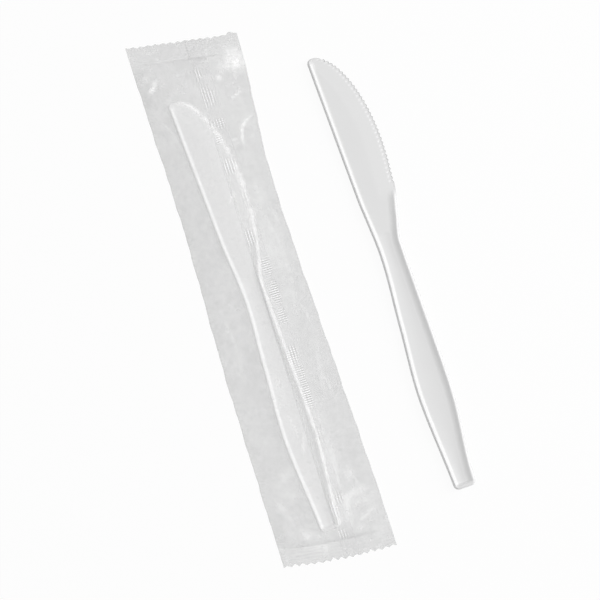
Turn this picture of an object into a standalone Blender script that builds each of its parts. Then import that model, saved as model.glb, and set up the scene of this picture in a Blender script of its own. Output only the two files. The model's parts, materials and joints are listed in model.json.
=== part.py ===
"""A plastic knife sealed in a clear film sleeve, with a second, bare knife beside it.

Metres, +Z up. The sleeve lies along Y with the knife tips towards +Y, everything rests on
Z = 0, and the origin is under the middle of the set's footprint.

The knife is one moulding: a flat web between two raised rims, which fade out along the
cutting edge. The sleeve is one sheet of film: a tube whose two long edges meet in a fin seal
folded flat on top, pressed flat, ribbed and cut to a zigzag at both ends.
"""

import math

import bmesh
import bpy
import numpy as np

# Knife, lengths from the tip
KNIFE_LENGTH = 0.165
BELLY_FROM_TIP = 0.035
HEEL_FROM_TIP = 0.0524
NECK_FROM_TIP = 0.0735
GRIP_FROM_BUTT = 0.044
SWELL_FROM_BUTT = 0.034

# Knife, how far each side lies from the moulding's axis
SPINE_AT_BLADE = 0.00195
SPINE_AT_NECK = 0.0012
SPINE_AT_SWELL = 0.0060
SPINE_AT_BUTT = 0.0050
EDGE_AT_BELLY = 0.01425
EDGE_AT_HEEL = 0.0129
EDGE_AT_NECK = 0.0080
EDGE_AT_GRIP = 0.0074
EDGE_AT_SWELL = 0.0070
EDGE_AT_BUTT = 0.0034
TIP_RADIUS = 0.0020
BUTT_RADIUS = 0.0020

# Knife, thickness of the moulding
HANDLE_THICKNESS = 0.0030
BLADE_SPINE_THICKNESS = 0.0024
TIP_THICKNESS = 0.0012
HANDLE_WEB = 0.0011
BLADE_WEB = 0.0014
CUTTING_EDGE = 0.0005
EDGE_BACK = 0.0009
END_LAND = 0.0008

# Knife, the raised rim
RIM_OUTER_SLOPE = 0.00045
RIM_CREST = 0.00045
RIM_INNER_SLOPE = 0.0011
RIM_FADE = 0.0060
WEB_STEP = 0.0005

# Knife, the saw teeth
TOOTH_PITCH = 0.00165
TOOTH_DEPTH = 0.00055
TOOTH_LAND = 0.00012
FIRST_TOOTH_FROM_TIP = 0.0025

# Film
FILM_THICKNESS = 0.00004
PLY_GAP = 0.00003
CLEARANCE = 0.0003

# Sleeve, seen from above
CRIMP_LENGTH = 0.0070
TIP_ROOM = 0.0140
BUTT_ROOM = 0.0047
KNIFE_TILT = math.radians(3.6)
KNIFE_OFFSET = -0.0046
TOP_LEFT = 0.0199
TOP_RIGHT = 0.0204
WAIST_FROM_TOP = 0.060
WAIST_LEFT = 0.0192
WAIST_RIGHT = 0.0171
BOTTOM_LEFT = 0.0209
BOTTOM_RIGHT = 0.0207
SIDE_BULGE = 0.0007
BULGE_FROM_BOTTOM = 0.068
TOP_SKEW = math.radians(9.4)
BOTTOM_SKEW = math.radians(5.8)
BOTTOM_BOW = 0.0011
LEAN_FADE = 0.040

# Sleeve, its height
AIR_AT_WAIST = 0.0035
AIR_AT_HANDLE = 0.0013
HANDLE_AIR_FROM_BOTTOM = 0.060
TOP_SHOULDER = 0.014
BOTTOM_SHOULDER = 0.0045
FOLD_HEIGHT = 0.0018
FOLD_RISE = 0.022
FLAT_SHARE = 0.55
CREST_POWER = 2.2

# Sleeve, its seals
FIN_WIDTH = 0.0056
FIN_ROOT = 0.0016
RIB_COUNT = 6
RIB_HEIGHT = 0.00018
ROOT_STEP = 3 * (FILM_THICKNESS + PLY_GAP)
ZIGZAG_PITCH = 0.0026
ZIGZAG_DEPTH = 0.0008
ZIGZAG_INSET = 0.0002

# The bare knife
LOOSE_TILT = math.radians(2.94)
LOOSE_FROM_SIDE = 0.02675
LOOSE_AHEAD = 0.0003

# How finely the curves are drawn
NOSE_SECTIONS = 13
BLADE_SECTIONS = 4
HANDLE_SECTIONS = 8
BUTT_SECTIONS = 6
EDGE_SAMPLES = 400
SLEEVE_SECTIONS = 16
SHOULDER_SECTIONS = 5
LEFT_TOP_POINTS = 9
RIGHT_TOP_POINTS = 9
BACK_POINTS = 13
FIN_POINTS = 4


def monotone(stations, values, where):
    """Smooth curve through the points that never swings past them (Fritsch and Carlson)."""
    stations = np.asarray(stations, float)
    values = np.asarray(values, float)
    where = np.atleast_1d(np.asarray(where, float))
    step = np.diff(stations)
    secant = np.diff(values) / step
    slope = np.zeros(len(values))
    same = secant[:-1] * secant[1:] > 0
    mean = 2 * secant[:-1] * secant[1:] / np.where(same, secant[:-1] + secant[1:], 1.0)
    slope[1:-1] = np.where(same, mean, 0.0)
    span = np.clip(np.searchsorted(stations, where, side="right") - 1, 0, len(step) - 1)
    width = step[span]
    f = np.clip((where - stations[span]) / width, 0.0, 1.0)
    return (
        (1 + 2 * f) * (1 - f) ** 2 * values[span]
        + f * (1 - f) ** 2 * width * slope[span]
        + f * f * (3 - 2 * f) * values[span + 1]
        + f * f * (f - 1) * width * slope[span + 1]
    )


def ease(where, start, end):
    """0 before start, 1 after end, and a smooth ramp between them."""
    f = np.clip((np.asarray(where, float) - start) / (end - start), 0.0, 1.0)
    return f * f * (3 - 2 * f)


def corner_pull(distance, radius):
    """How far a rounded corner draws a side in, at this distance from its end."""
    inside = np.clip(radius - np.asarray(distance, float), 0.0, radius)
    return radius - np.sqrt(radius * radius - inside * inside)


def loft(rings, capped):
    """Mesh through closed rings of points, each joined to the next, with or without ends."""
    count = rings.shape[1]
    bm = bmesh.new()
    grid = [[bm.verts.new(point) for point in ring] for ring in rings]
    for lower, upper in zip(grid, grid[1:]):
        for i in range(count):
            j = (i + 1) % count
            bm.faces.new((lower[i], lower[j], upper[j], upper[i]))
    if capped:
        bm.faces.new(grid[0])
        bm.faces.new(grid[-1])
    return bm


def finish_mesh(name, bm):
    """Mesh data from a bmesh, with its normals facing out."""
    bmesh.ops.recalc_face_normals(bm, faces=bm.faces)
    mesh = bpy.data.meshes.new(name)
    bm.to_mesh(mesh)
    bm.free()
    return mesh


def plastic(name, colour, roughness, alpha=1.0):
    """Plain plastic: a Principled BSDF of this colour, roughness and opacity."""
    material = bpy.data.materials.new(name)
    material.use_nodes = True
    shader = material.node_tree.nodes["Principled BSDF"]
    shader.inputs["Base Color"].default_value = (*colour, 1.0)
    shader.inputs["Roughness"].default_value = roughness
    shader.inputs["Metallic"].default_value = 0.0
    shader.inputs["Alpha"].default_value = alpha
    return material


def spine_side(s):
    """Distance of the spine from the axis, at lengths s from the tip."""
    swell = KNIFE_LENGTH - SWELL_FROM_BUTT
    middle = 0.5 * (NECK_FROM_TIP + swell)
    side = monotone(
        (0.0, HEEL_FROM_TIP, NECK_FROM_TIP, middle, swell, KNIFE_LENGTH),
        (SPINE_AT_BLADE, SPINE_AT_BLADE, SPINE_AT_NECK,
         0.5 * (SPINE_AT_NECK + SPINE_AT_SWELL), SPINE_AT_SWELL, SPINE_AT_BUTT),
        s,
    )
    return side - corner_pull(s, TIP_RADIUS) - corner_pull(KNIFE_LENGTH - s, BUTT_RADIUS)


def edge_side(s):
    """Distance of the cutting side from the axis: a quarter ellipse, then a smooth curve."""
    s = np.asarray(s, float)
    nose_x = np.clip(1 - s / BELLY_FROM_TIP, 0.0, 1.0)
    nose = EDGE_AT_BELLY * np.sqrt(1 - nose_x * nose_x)
    throat = 0.5 * (HEEL_FROM_TIP + NECK_FROM_TIP)
    rest = monotone(
        (BELLY_FROM_TIP, HEEL_FROM_TIP, throat, NECK_FROM_TIP,
         KNIFE_LENGTH - GRIP_FROM_BUTT, KNIFE_LENGTH - SWELL_FROM_BUTT, KNIFE_LENGTH),
        (EDGE_AT_BELLY, EDGE_AT_HEEL, 0.5 * (EDGE_AT_HEEL + EDGE_AT_NECK), EDGE_AT_NECK,
         EDGE_AT_GRIP, EDGE_AT_SWELL, EDGE_AT_BUTT),
        s,
    )
    side = np.where(s < BELLY_FROM_TIP, nose, rest)
    return side - corner_pull(KNIFE_LENGTH - s, BUTT_RADIUS)


def rim_width():
    """Width of the raised rim from its outer side to its foot on the web."""
    return RIM_OUTER_SLOPE + RIM_CREST + RIM_INNER_SLOPE


def rim_start():
    """Length from the tip at which the rim along the cutting side begins to rise."""
    return HEEL_FROM_TIP + TOOTH_PITCH


def web_step_start():
    """Length from the tip at which the web steps down from the blade to the handle."""
    return 0.5 * (rim_start() + RIM_FADE + NECK_FROM_TIP)


def knife_stations():
    """Lengths from the tip at which the knife's sections are drawn."""
    full_rim = rim_start() + RIM_FADE
    swell = KNIFE_LENGTH - SWELL_FROM_BUTT
    groups = (
        BELLY_FROM_TIP * (1 - np.cos(np.linspace(0, math.pi / 2, NOSE_SECTIONS))),
        np.linspace(BELLY_FROM_TIP, HEEL_FROM_TIP, BLADE_SECTIONS),
        np.linspace(rim_start(), full_rim, BLADE_SECTIONS),
        (0.5 * (full_rim + web_step_start()), web_step_start(), web_step_start() + WEB_STEP),
        np.linspace(NECK_FROM_TIP, swell, HANDLE_SECTIONS),
        np.linspace(swell, KNIFE_LENGTH - BUTT_RADIUS - rim_width(), BUTT_SECTIONS),
        KNIFE_LENGTH - np.array((rim_width(), RIM_OUTER_SLOPE + RIM_CREST,
                                 RIM_OUTER_SLOPE, 0.0)),
    )
    return np.unique(np.round(np.concatenate(groups), 7))


def knife_heights(s):
    """Half thickness of the rim, the web, and the cutting side, at lengths s from the tip."""
    grow = ease(s, HEEL_FROM_TIP, NECK_FROM_TIP)
    tip = ease(s, 0.0, TIP_RADIUS)
    rimmed = ease(s, rim_start(), rim_start() + RIM_FADE)
    stepped = ease(s, web_step_start(), web_step_start() + WEB_STEP)
    butt = ease(s, KNIFE_LENGTH - rim_width(), KNIFE_LENGTH - RIM_OUTER_SLOPE - RIM_CREST)
    rim = BLADE_SPINE_THICKNESS + grow * (HANDLE_THICKNESS - BLADE_SPINE_THICKNESS)
    rim = 0.5 * (tip * rim + (1 - tip) * TIP_THICKNESS)
    web = np.minimum(0.5 * (BLADE_WEB + stepped * (HANDLE_WEB - BLADE_WEB)), rim)
    bevel_middle = 0.5 * (CUTTING_EDGE + EDGE_BACK)
    foot = rimmed * web + (1 - rimmed) * np.minimum(0.5 * EDGE_BACK, web)
    crest = rimmed * rim + (1 - rimmed) * 0.5 * bevel_middle
    outer = rimmed * rim + (1 - rimmed) * 0.5 * CUTTING_EDGE
    web = web + butt * (rim - web)
    foot = foot + butt * (rim - foot)
    return rim, web, foot, crest, outer


def knife_rings():
    """Sections of the knife: over the top from the spine to the cutting side, back below."""
    s = knife_stations()
    spine = -spine_side(s)
    edge = np.maximum(edge_side(s), spine + END_LAND)
    inset = np.minimum(1.0, (edge - spine) / (2 * rim_width() + END_LAND))
    outer = inset * RIM_OUTER_SLOPE
    crest = inset * (RIM_OUTER_SLOPE + RIM_CREST)
    foot = inset * rim_width()
    high, web, edge_foot, edge_crest, edge_outer = knife_heights(s)
    x = np.stack((spine, spine + outer, spine + crest, spine + foot,
                  edge - foot, edge - crest, edge - outer, edge), axis=1)
    z = np.stack((0 * s, high, high, web, edge_foot, edge_crest, edge_outer, 0 * s), axis=1)
    closing = ease(s, KNIFE_LENGTH - RIM_OUTER_SLOPE, KNIFE_LENGTH)
    z = z * (1 - closing * (1 - END_LAND / HANDLE_THICKNESS))[:, None]
    x = np.concatenate((x, x[:, -2:0:-1]), axis=1)
    z = np.concatenate((z, -z[:, -2:0:-1]), axis=1)
    y = np.broadcast_to((0.5 * KNIFE_LENGTH - s)[:, None], x.shape)
    return np.stack((x, y, z), axis=2)


def teeth_cutter(collection):
    """Upright diamond pegs along the cutting edge, whose inner corners cut the saw teeth."""
    fine = np.linspace(FIRST_TOOTH_FROM_TIP, HEEL_FROM_TIP, EDGE_SAMPLES)
    side = edge_side(fine)
    along = np.concatenate(([0.0], np.cumsum(np.hypot(np.diff(fine), np.diff(side)))))
    count = int(along[-1] // TOOTH_PITCH)
    places = (np.arange(count) + 0.5) * TOOTH_PITCH
    at = np.interp(places, along, fine)
    turns = np.arctan(np.interp(at, fine, np.gradient(side, fine)))
    length = 0.5 * (TOOTH_PITCH - TOOTH_LAND)
    bm = bmesh.new()
    for s, centre_x, turn in zip(at, edge_side(at), turns):
        made = bmesh.ops.create_cone(
            bm, cap_ends=True, segments=4, radius1=1.0, radius2=1.0, depth=2.0)
        cos, sin = math.cos(turn), math.sin(turn)
        centre_y = 0.5 * KNIFE_LENGTH - s
        for vert in made["verts"]:
            along_edge = vert.co.y * length
            inward = vert.co.x * TOOTH_DEPTH
            vert.co.x = centre_x + inward * cos - along_edge * sin
            vert.co.y = centre_y + inward * sin + along_edge * cos
            vert.co.z = vert.co.z * HANDLE_THICKNESS
    cutter = bpy.data.objects.new("teeth_cutter", finish_mesh("teeth_cutter", bm))
    cutter.hide_render = True
    cutter.display_type = "WIRE"
    collection.objects.link(cutter)
    return cutter


def pack_length():
    """Length of the sleeve along its middle: its seals, the knife, and the room round it."""
    return 2 * CRIMP_LENGTH + TIP_ROOM + BUTT_ROOM + KNIFE_LENGTH * math.cos(KNIFE_TILT)


def ply_level(number):
    """Height of a ply's middle above the table, counted from the lowest."""
    return 0.5 * FILM_THICKNESS + number * (FILM_THICKNESS + PLY_GAP)


def sleeve_sides(s):
    """Where the sleeve's left and right folds lie across, at length s from the top end."""
    length = pack_length()
    bulge = length - BULGE_FROM_BOTTOM
    share = (bulge - WAIST_FROM_TOP) / (length - WAIST_FROM_TOP)
    keys = (0.0, WAIST_FROM_TOP, bulge, length)
    left_bulge = WAIST_LEFT + share * (BOTTOM_LEFT - WAIST_LEFT) + SIDE_BULGE
    right_bulge = WAIST_RIGHT + share * (BOTTOM_RIGHT - WAIST_RIGHT)
    left = monotone(keys, (TOP_LEFT, WAIST_LEFT, left_bulge, BOTTOM_LEFT), s)[0]
    right = monotone(keys, (TOP_RIGHT, WAIST_RIGHT, right_bulge, BOTTOM_RIGHT), s)[0]
    return -left, right


def sleeve_heights(s):
    """Heights of the film's crest and side folds over the flat seal, at length s.

    The crest clears the knife by the air trapped there, and falls to the seals as a quarter
    ellipse. The side folds lift more gently.
    """
    length = pack_length()
    into_top = np.clip((s - CRIMP_LENGTH) / TOP_SHOULDER, 0.0, 1.0)
    into_bottom = np.clip((length - CRIMP_LENGTH - s) / BOTTOM_SHOULDER, 0.0, 1.0)
    dome = math.sqrt((1 - (1 - into_top) ** 2) * (1 - (1 - into_bottom) ** 2))
    settled = ease(s, WAIST_FROM_TOP, length - HANDLE_AIR_FROM_BOTTOM)
    air = AIR_AT_WAIST + settled * (AIR_AT_HANDLE - AIR_AT_WAIST)
    rise = ease(s, CRIMP_LENGTH, CRIMP_LENGTH + FOLD_RISE)
    fall = ease(s, length - CRIMP_LENGTH - FOLD_RISE, length - CRIMP_LENGTH)
    return dome * (CLEARANCE + HANDLE_THICKNESS + air), FOLD_HEIGHT * rise * (1 - fall)


def sleeve_section(s, spread):
    """Closed section of the film at length s from the top end: (across, up) points.

    The crest over the knife falls off to each side as 1 - |f|^2.2. The fin's two plies are
    folded over it to the right, spread times as far apart upwards as on a level seal. The
    back is flat in its middle and turns up to the side folds.
    """
    left, right = sleeve_sides(s)
    crest, fold = sleeve_heights(s)
    middle = 0.5 * (left + right)
    half = 0.5 * (right - left)
    turn = FILM_THICKNESS + PLY_GAP
    tip = FIN_ROOT + FIN_WIDTH

    def top_height(x, plies_up=0.0):
        f = np.abs((x - middle) / half)
        lift = fold + (crest - fold) * (1 - f ** CREST_POWER)
        return ply_level(1) + lift + plies_up * turn * spread

    def back_height(x):
        f = np.clip((np.abs((x - middle) / half) - FLAT_SHARE) / (1 - FLAT_SHARE), 0.0, 1.0)
        return ply_level(0) + fold * f * f

    def top_points(start, stop, count):
        angles = np.arcsin((np.array((start, stop)) - middle) / (half - turn))
        return middle + (half - turn) * np.sin(np.linspace(*angles, count))

    left_top = top_points(left + turn, FIN_ROOT - 2 * ROOT_STEP, LEFT_TOP_POINTS)
    outer_fin = np.append(FIN_ROOT - ROOT_STEP, np.linspace(FIN_ROOT, tip, FIN_POINTS))
    fin_edge = np.array([tip + 0.5 * turn])
    inner_fin = np.linspace(tip, FIN_ROOT, FIN_POINTS)
    root = np.array([FIN_ROOT - 0.5 * turn])
    right_top = top_points(FIN_ROOT, right - turn, RIGHT_TOP_POINTS)
    back = np.linspace(right - turn, left + turn, BACK_POINTS)
    side = ply_level(0.5) + fold
    stretches = (
        (left_top, top_height(left_top)),
        (outer_fin, top_height(outer_fin, 2)),
        (fin_edge, top_height(fin_edge, 1.5)),
        (inner_fin, top_height(inner_fin, 1)),
        (root, top_height(root, 0.5)),
        (right_top, top_height(right_top)),
        ([right], [side]),
        (back, back_height(back)),
        ([left], [side]),
    )
    return np.concatenate([np.stack(stretch, axis=1) for stretch in stretches])


def fin_spread(stations):
    """How much further apart, measured upwards, plies lie on the sleeve's slope at stations.

    The slope is the steeper one of the crest's two stretches that meet at a station.
    """
    crest = np.array([sleeve_heights(s)[0] for s in stations])
    slope = np.abs(np.diff(crest, axis=0) / np.diff(stations))
    steeper = np.maximum(np.append(slope, 0.0), np.insert(slope, 0, 0.0))
    return np.sqrt(1 + steeper * steeper)


def sleeve_stations():
    """Lengths from the top end at which the sleeve's sections are drawn."""
    length = pack_length()
    crimp = np.linspace(0.0, CRIMP_LENGTH, 2 * RIB_COUNT + 1)
    shoulder = 1 - np.cos(np.linspace(0.0, math.pi / 2, SHOULDER_SECTIONS)[1:-1])
    body = np.linspace(CRIMP_LENGTH + TOP_SHOULDER,
                       length - CRIMP_LENGTH - BOTTOM_SHOULDER, SLEEVE_SECTIONS)
    return np.concatenate((
        crimp,
        CRIMP_LENGTH + shoulder * TOP_SHOULDER,
        body,
        length - CRIMP_LENGTH - shoulder[::-1] * BOTTOM_SHOULDER,
        length - crimp[::-1],
    ))


def rib_lift(s):
    """Height of the crimp's ribs at length s: a wave across each end seal, none between."""
    from_end = np.minimum(np.minimum(s, pack_length() - s), CRIMP_LENGTH)
    return RIB_HEIGHT * 0.5 * (1 - np.cos(2 * math.pi * RIB_COUNT * from_end / CRIMP_LENGTH))


def lean(s, x):
    """How far towards the bottom end the line across at length s lies at x off the middle.

    Both ends are cut askew, and the bottom end bows outwards. The body between is square.
    """
    start = pack_length() - CRIMP_LENGTH
    top = 1 - ease(s, CRIMP_LENGTH, CRIMP_LENGTH + LEAN_FADE)
    bottom = ease(s, start - LEAN_FADE, start)
    half = max(BOTTOM_LEFT, BOTTOM_RIGHT)
    skewed = (top * math.tan(TOP_SKEW) + bottom * math.tan(BOTTOM_SKEW)) * x
    return skewed - bottom * BOTTOM_BOW * (x / half) ** 2


def sleeve_mesh():
    """Middle surface of the film: an open tube through the sleeve's sections."""
    rings = []
    stations = sleeve_stations()
    for s, spread in zip(stations, fin_spread(stations)):
        section = sleeve_section(s, spread)
        x = section[:, 0]
        y = 0.5 * pack_length() - s - lean(s, x)
        rings.append(np.stack((x, y, section[:, 1] + rib_lift(s)), axis=1))
    return finish_mesh("film_wrapper", loft(np.array(rings), capped=False))


def zigzag_cutter(name, end, collection):
    """Flat block with a zigzag edge that trims one end of the sleeve along its skew."""
    length = pack_length()
    station = 0.0 if end > 0 else length
    reach = 2 * max(TOP_LEFT, TOP_RIGHT, BOTTOM_LEFT, BOTTOM_RIGHT)
    teeth = math.ceil(reach / ZIGZAG_PITCH) + 1
    x = np.arange(-teeth, teeth + 1) * 0.5 * ZIGZAG_PITCH
    depth = ZIGZAG_INSET + (np.arange(len(x)) % 2) * ZIGZAG_DEPTH
    y = end * (0.5 * length - depth) - lean(station, x)
    far = end * (0.5 * length + reach)
    height = 4 * ply_level(3) + RIB_HEIGHT
    bm = bmesh.new()
    inner = [bm.verts.new((px, py, -height)) for px, py in zip(x, y)]
    outer = [bm.verts.new((px, far, -height)) for px in x]
    faces = []
    for i in range(len(x) - 1):
        faces.append(bm.faces.new((inner[i], inner[i + 1], outer[i + 1], outer[i])))
    raised = bmesh.ops.extrude_face_region(bm, geom=faces)
    verts = [item for item in raised["geom"] if isinstance(item, bmesh.types.BMVert)]
    bmesh.ops.translate(bm, verts=verts, vec=(0.0, 0.0, 3 * height))
    cutter = bpy.data.objects.new(name, finish_mesh(name, bm))
    cutter.hide_render = True
    cutter.display_type = "WIRE"
    collection.objects.link(cutter)
    return cutter


def cut(target, cutter):
    """Exact Boolean difference, kept live on the object."""
    modifier = target.modifiers.new(cutter.name, "BOOLEAN")
    modifier.operation = "DIFFERENCE"
    modifier.solver = "EXACT"
    modifier.object = cutter


def add_sleeve(parts, cutters):
    """The film sleeve: the tube given its thickness, then cut to a zigzag at both ends."""
    sleeve = bpy.data.objects.new("film_wrapper", sleeve_mesh())
    sleeve.data.materials.append(plastic("clear_film", (0.86, 0.87, 0.88), 0.12, 0.3))
    solid = sleeve.modifiers.new("film_thickness", "SOLIDIFY")
    solid.thickness = FILM_THICKNESS
    solid.offset = 0.0
    solid.use_even_offset = True
    cut(sleeve, zigzag_cutter("top_zigzag", 1, cutters))
    cut(sleeve, zigzag_cutter("bottom_zigzag", -1, cutters))
    parts.objects.link(sleeve)
    return sleeve


def knife_mesh(cutters):
    """The knife with its teeth cut, lying flat with its middle at the origin."""
    mould = finish_mesh("knife_blank", loft(knife_rings(), capped=True))
    blank = bpy.data.objects.new("knife_blank", mould)
    cutters.objects.link(blank)
    cut(blank, teeth_cutter(cutters))
    depsgraph = bpy.context.evaluated_depsgraph_get()
    toothed = bpy.data.meshes.new_from_object(blank.evaluated_get(depsgraph))
    toothed.name = "plastic_knife"
    toothed.materials.append(plastic("white_plastic", (0.86, 0.86, 0.86), 0.35))
    bpy.data.objects.remove(blank)
    return toothed


def add_knives(parts, cutters):
    """The knife in the sleeve and the bare one beside it, which share one moulding."""
    mesh = knife_mesh(cutters)
    half = 0.5 * HANDLE_THICKNESS
    inside = ply_level(0) + 0.5 * FILM_THICKNESS + CLEARANCE + half
    half_length = 0.5 * KNIFE_LENGTH * math.cos(KNIFE_TILT)
    along = CRIMP_LENGTH + BUTT_ROOM + half_length - 0.5 * pack_length()
    places = (
        ("wrapped_knife", (KNIFE_OFFSET, along, inside), KNIFE_TILT),
        ("loose_knife", (BOTTOM_RIGHT + LOOSE_FROM_SIDE, along + LOOSE_AHEAD, half), LOOSE_TILT),
    )
    knives = []
    for name, place, tilt in places:
        knife = bpy.data.objects.new(name, mesh)
        knife.location = place
        knife.rotation_euler = (0.0, 0.0, tilt)
        parts.objects.link(knife)
        knives.append(knife)
    return knives


def centre_set(parts, empty):
    """Move the set so that the origin is under the middle of its footprint."""
    bpy.context.view_layer.update()
    depsgraph = bpy.context.evaluated_depsgraph_get()
    corners = []
    for item in parts.objects:
        if item.type == "MESH":
            evaluated = item.evaluated_get(depsgraph)
            mesh = evaluated.to_mesh()
            corners += [evaluated.matrix_world @ vert.co for vert in mesh.vertices]
            evaluated.to_mesh_clear()
    corners = np.array(corners)
    middle = 0.5 * (corners.min(axis=0) + corners.max(axis=0))
    empty.location = (-middle[0], -middle[1], 0.0)


def main():
    for item in list(bpy.data.objects):
        bpy.data.objects.remove(item, do_unlink=True)
    parts = bpy.data.collections.new("plastic_knife_pack")
    cutters = bpy.data.collections.new("cutters")
    bpy.context.scene.collection.children.link(parts)
    bpy.context.scene.collection.children.link(cutters)

    middle = bpy.data.objects.new("set_middle", None)
    parts.objects.link(middle)
    sleeve = add_sleeve(parts, cutters)
    knives = add_knives(parts, cutters)
    for item in (sleeve, *knives, *cutters.objects):
        item.parent = middle
    centre_set(parts, middle)


main()
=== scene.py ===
"""Looks of a plastic knife sealed in a clear film sleeve, with a matching bare knife beside it.

Metres, +Z up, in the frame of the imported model. The sleeve lies along Y with the knife tips
towards +Y. Lengths called s run down a piece from its top or its tip, and x runs across it.
"""

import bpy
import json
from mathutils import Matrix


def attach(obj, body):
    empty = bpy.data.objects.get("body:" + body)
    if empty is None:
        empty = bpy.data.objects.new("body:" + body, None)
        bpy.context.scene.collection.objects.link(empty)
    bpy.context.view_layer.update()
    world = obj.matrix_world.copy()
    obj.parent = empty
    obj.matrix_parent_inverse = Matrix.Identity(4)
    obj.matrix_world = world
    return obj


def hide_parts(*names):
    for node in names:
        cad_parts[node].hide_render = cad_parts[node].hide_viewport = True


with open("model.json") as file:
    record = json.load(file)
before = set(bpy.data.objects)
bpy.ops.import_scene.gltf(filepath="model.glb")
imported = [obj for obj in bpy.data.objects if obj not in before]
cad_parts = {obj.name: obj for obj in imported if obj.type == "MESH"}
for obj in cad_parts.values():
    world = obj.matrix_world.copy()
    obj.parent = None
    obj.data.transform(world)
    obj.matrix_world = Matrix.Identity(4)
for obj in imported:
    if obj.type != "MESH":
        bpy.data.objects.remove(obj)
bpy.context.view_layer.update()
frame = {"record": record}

import json
import math

import bpy
import numpy as np
from mathutils import Matrix, Vector

bl_info = {
    "name": "Wrapped plastic knife",
    "version": (1, 0, 0),
    "blender": (4, 5, 0),
    "location": "View3D > Sidebar > Wrapped Knife",
    "description": "Builds a plastic knife in a clear film sleeve and a bare knife beside it",
    "category": "Object",
}

SLOTS = {row["slot"]: row for row in frame["record"]["materials"]}
MM = 0.001

# Knife, lengths from the tip, and distances of its two sides from its axis at such lengths
KNIFE_LENGTH = 0.165
BELLY_FROM_TIP = 0.035
HEEL_FROM_TIP = 0.0524
NECK_FROM_TIP = 0.0735
GRIP_FROM_TIP = 0.121
SWELL_FROM_TIP = 0.131
SPINE_SIDE = (0.00195, 0.00195, 0.0012, 0.0036, 0.0060, 0.0050)
EDGE_SIDE = (0.01425, 0.0129, 0.01045, 0.0080, 0.0074, 0.0070, 0.0034)
TIP_RADIUS = 0.0020
BUTT_RADIUS = 0.0020

# Knife, the moulding's section. A rim's widths are those of its outer side, its crest and its
# inner slope, and the columns are how many points each of them takes.
HANDLE_THICKNESS = 0.0030
BLADE_SPINE_THICKNESS = 0.0024
TIP_THICKNESS = 0.0012
HANDLE_WEB = 0.0011
BLADE_WEB = 0.0014
CUTTING_EDGE = 0.0005
END_LAND = 0.0008
SPINE_RIM = (0.00074, 0.00016, 0.0013)
SPINE_COLUMNS = (7, 4, 9)
EDGE_RIM = (0.0009, 0.00015, 0.0026)
EDGE_COLUMNS = (9, 3, 12)
WEB_COLUMNS = 12
STEEP_SHARE = 0.3
RIM_FADE = 0.0038
WEB_DISH = 0.00010
WEB_STEP_FROM_TIP = 0.0684
WEB_STEP_FROM_AXIS = 0.0034
WEB_STEP_SLANT = 0.22
WEB_STEP_LENGTH = 0.0004
WEB_STEP_FADE = 0.0060
BEVEL_WIDTH = 0.0010
BEVEL_HEIGHT = 0.00040
BEVEL_ROUNDING = 0.4
BEVEL_DROP = 0.8
GRIND_WIDTH = 0.0070
TIP_SHARE = 0.4
BUTT_LENGTH = 0.003

# Knife, its teeth
FIRST_TOOTH = 0.0008
TOOTH_LAND = 0.00012
TOOTH_SECTIONS = 12
NOTCH_REACH = 0.0022
NOTCH_POWER = 1.5
GROOVE_DEPTH = 0.00020
GROOVE_ONSET = 0.0003
GROOVE_FADE = (0.0009, 0.0020)
# Painted shade: width of the darkened band along the teeth's tips
PAINTED_TIP_SHADE_WIDTH = 0.00035
FINE_STEPS = 4000

# Moulded plastic: sizes of its clouds, skin and flow marks, and how bright it is in the clouds
# and under the painted shade on the teeth's tips
PLASTIC_CLOUD_SIZE = 0.012
SKIN_SIZE = 0.0006
FLOW_SIZE = 0.004
SKIN_DEPTH = 0.00004
CLOUD_SHADE = 0.97
PAINTED_TIP_SHADE_LEVEL = 0.5

# Where the knives lie: middle of each, and its turn
WRAPPED_PLACE = (-0.0237887, -0.0056491, 0.00184)
WRAPPED_TURN = math.radians(3.6)
LOOSE_PLACE = (0.0282613, -0.0053491, 0.0015)
LOOSE_TURN = math.radians(2.94)

# Sleeve, seen from above
SLEEVE_MIDDLE = (-0.0191887, -0.0009992)
SLEEVE_LENGTH = 0.1973744
CRIMP_LENGTH = 0.0070
LOW_SEAL = SLEEVE_LENGTH - CRIMP_LENGTH
SIDE_STATIONS = (0.0, 0.060, 0.1293744, SLEEVE_LENGTH)
LEFT_SIDE = (0.0199, 0.0192, 0.0207585, 0.0209)
RIGHT_SIDE = (0.0204, 0.0171, 0.0189179, 0.0207)
TOP_SKEW = math.tan(math.radians(9.4))
BOTTOM_SKEW = math.tan(math.radians(5.8))
BOTTOM_BOW = 0.0011
LEAN_FADE = 0.040

# Sleeve, its height and its seals
FILM_THICKNESS = 0.00004
PLY_STEP = 0.00007
CLEAR_HEIGHT = 0.0033
AIR_AT_WAIST = 0.0035
AIR_AT_HANDLE = 0.0013
AIR_SETTLES = 0.060
TOP_SHOULDER = 0.014
BOTTOM_SHOULDER = 0.0045
FOLD_HEIGHT = 0.0018
FOLD_RISE = 0.022
FLAT_SHARE = 0.55
CREST_POWER = 2.2
FIN_ROOT = 0.0016
FIN_WIDTH = 0.0056
FIN_COLUMNS = 9
KNURL_STRETCH = 1.25
GATHER_REACH = 0.010
FULL_SWELL = 0.0015
DEEPEST_DENT = 0.00022

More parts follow.
